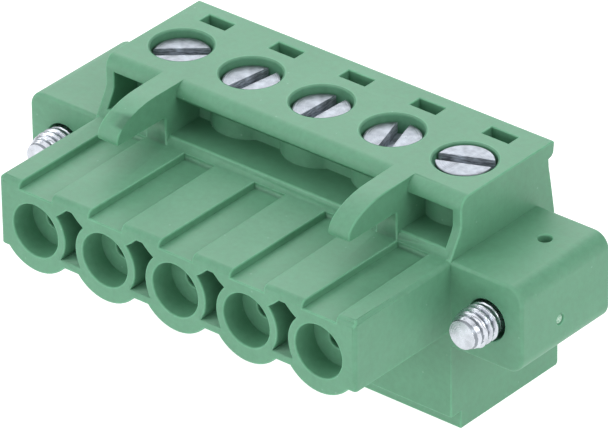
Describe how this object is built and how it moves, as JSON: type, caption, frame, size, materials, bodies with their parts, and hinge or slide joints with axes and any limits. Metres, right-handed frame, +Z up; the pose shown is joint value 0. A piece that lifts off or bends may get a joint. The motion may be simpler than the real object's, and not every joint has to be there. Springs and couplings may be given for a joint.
{
  "type": "pluggable terminal block",
  "caption": "Pluggable screw terminal block, a row of round mating sockets, slotted clamping screws on top, latching horns and side flanges with captive screws.",
  "frame": {"origin": "centre of the underside, midway along the row of poles and midway between the mating face and the wire side", "axes": "+X along the row of poles, +Y from the mating face to the wire side, +Z up to the screw heads"},
  "size_m": [0.0354, 0.0176, 0.0146],
  "materials": {
    "housing_plastic": "satin moulded green",
    "contact_tin": "tin plated",
    "cage_metal": "nickel plated",
    "clamp_screw_zinc": "bright zinc plated",
    "flange_screw_zinc": "bright zinc plated"
  },
  "bodies": {
    "housing": {"housing": "housing_plastic", "contact_1": "contact_tin", "contact_2": "contact_tin", "contact_3": "contact_tin", "contact_4": "contact_tin", "contact_5": "contact_tin"},
    "clamp_screw_1": {"clamp_screw_1": "clamp_screw_zinc"},
    "clamp_cage_1": {"clamp_cage_1": "cage_metal"},
    "clamp_screw_2": {"clamp_screw_2": "clamp_screw_zinc"},
    "clamp_cage_2": {"clamp_cage_2": "cage_metal"},
    "clamp_screw_3": {"clamp_screw_3": "clamp_screw_zinc"},
    "clamp_cage_3": {"clamp_cage_3": "cage_metal"},
    "clamp_screw_4": {"clamp_screw_4": "clamp_screw_zinc"},
    "clamp_cage_4": {"clamp_cage_4": "cage_metal"},
    "clamp_screw_5": {"clamp_screw_5": "clamp_screw_zinc"},
    "clamp_cage_5": {"clamp_cage_5": "cage_metal"},
    "flange_screw_left": {"flange_screw_left": "flange_screw_zinc"},
    "flange_screw_right": {"flange_screw_right": "flange_screw_zinc"}
  },
  "joints": [
    {"name": "clamp_cage_1_slide", "type": "slide", "parent": "housing", "child": "clamp_cage_1", "axis": [0, 0, 1], "range_m": [0, 0.003]},
    {"name": "clamp_screw_1_turn", "type": "hinge", "parent": "housing", "child": "clamp_screw_1", "pos_m": [-0.01016, 0.00385, 0.0124], "axis": [0, 0, -1], "range_deg": [0, 2161]},
    {"name": "clamp_cage_2_slide", "type": "slide", "parent": "housing", "child": "clamp_cage_2", "axis": [0, 0, 1], "range_m": [0, 0.003]},
    {"name": "clamp_screw_2_turn", "type": "hinge", "parent": "housing", "child": "clamp_screw_2", "pos_m": [-0.00508, 0.00385, 0.0124], "axis": [0, 0, -1], "range_deg": [0, 2161]},
    {"name": "clamp_cage_3_slide", "type": "slide", "parent": "housing", "child": "clamp_cage_3", "axis": [0, 0, 1], "range_m": [0, 0.003]},
    {"name": "clamp_screw_3_turn", "type": "hinge", "parent": "housing", "child": "clamp_screw_3", "pos_m": [0, 0.00385, 0.0124], "axis": [0, 0, -1], "range_deg": [0, 2161]},
    {"name": "clamp_cage_4_slide", "type": "slide", "parent": "housing", "child": "clamp_cage_4", "axis": [0, 0, 1], "range_m": [0, 0.003]},
    {"name": "clamp_screw_4_turn", "type": "hinge", "parent": "housing", "child": "clamp_screw_4", "pos_m": [0.00508, 0.00385, 0.0124], "axis": [0, 0, -1], "range_deg": [0, 2161]},
    {"name": "clamp_cage_5_slide", "type": "slide", "parent": "housing", "child": "clamp_cage_5", "axis": [0, 0, 1], "range_m": [0, 0.003]},
    {"name": "clamp_screw_5_turn", "type": "hinge", "parent": "housing", "child": "clamp_screw_5", "pos_m": [0.01016, 0.00385, 0.0124], "axis": [0, 0, -1], "range_deg": [0, 2161]},
    {"name": "flange_screw_left_turn", "type": "hinge", "parent": "housing", "child": "flange_screw_left", "pos_m": [-0.01524, 0.00217, 0.00845], "axis": [0, -1, 0], "continuous": true},
    {"name": "flange_screw_right_turn", "type": "hinge", "parent": "housing", "child": "flange_screw_right", "pos_m": [0.01524, 0.00217, 0.00845], "axis": [0, -1, 0], "continuous": true}
  ],
  "couplings": [
    {"joint": "clamp_screw_1_turn", "follows": "clamp_cage_1_slide", "rad_per_m": 12566},
    {"joint": "clamp_screw_2_turn", "follows": "clamp_cage_2_slide", "rad_per_m": 12566},
    {"joint": "clamp_screw_3_turn", "follows": "clamp_cage_3_slide", "rad_per_m": 12566},
    {"joint": "clamp_screw_4_turn", "follows": "clamp_cage_4_slide", "rad_per_m": 12566},
    {"joint": "clamp_screw_5_turn", "follows": "clamp_cage_5_slide", "rad_per_m": 12566}
  ]
}
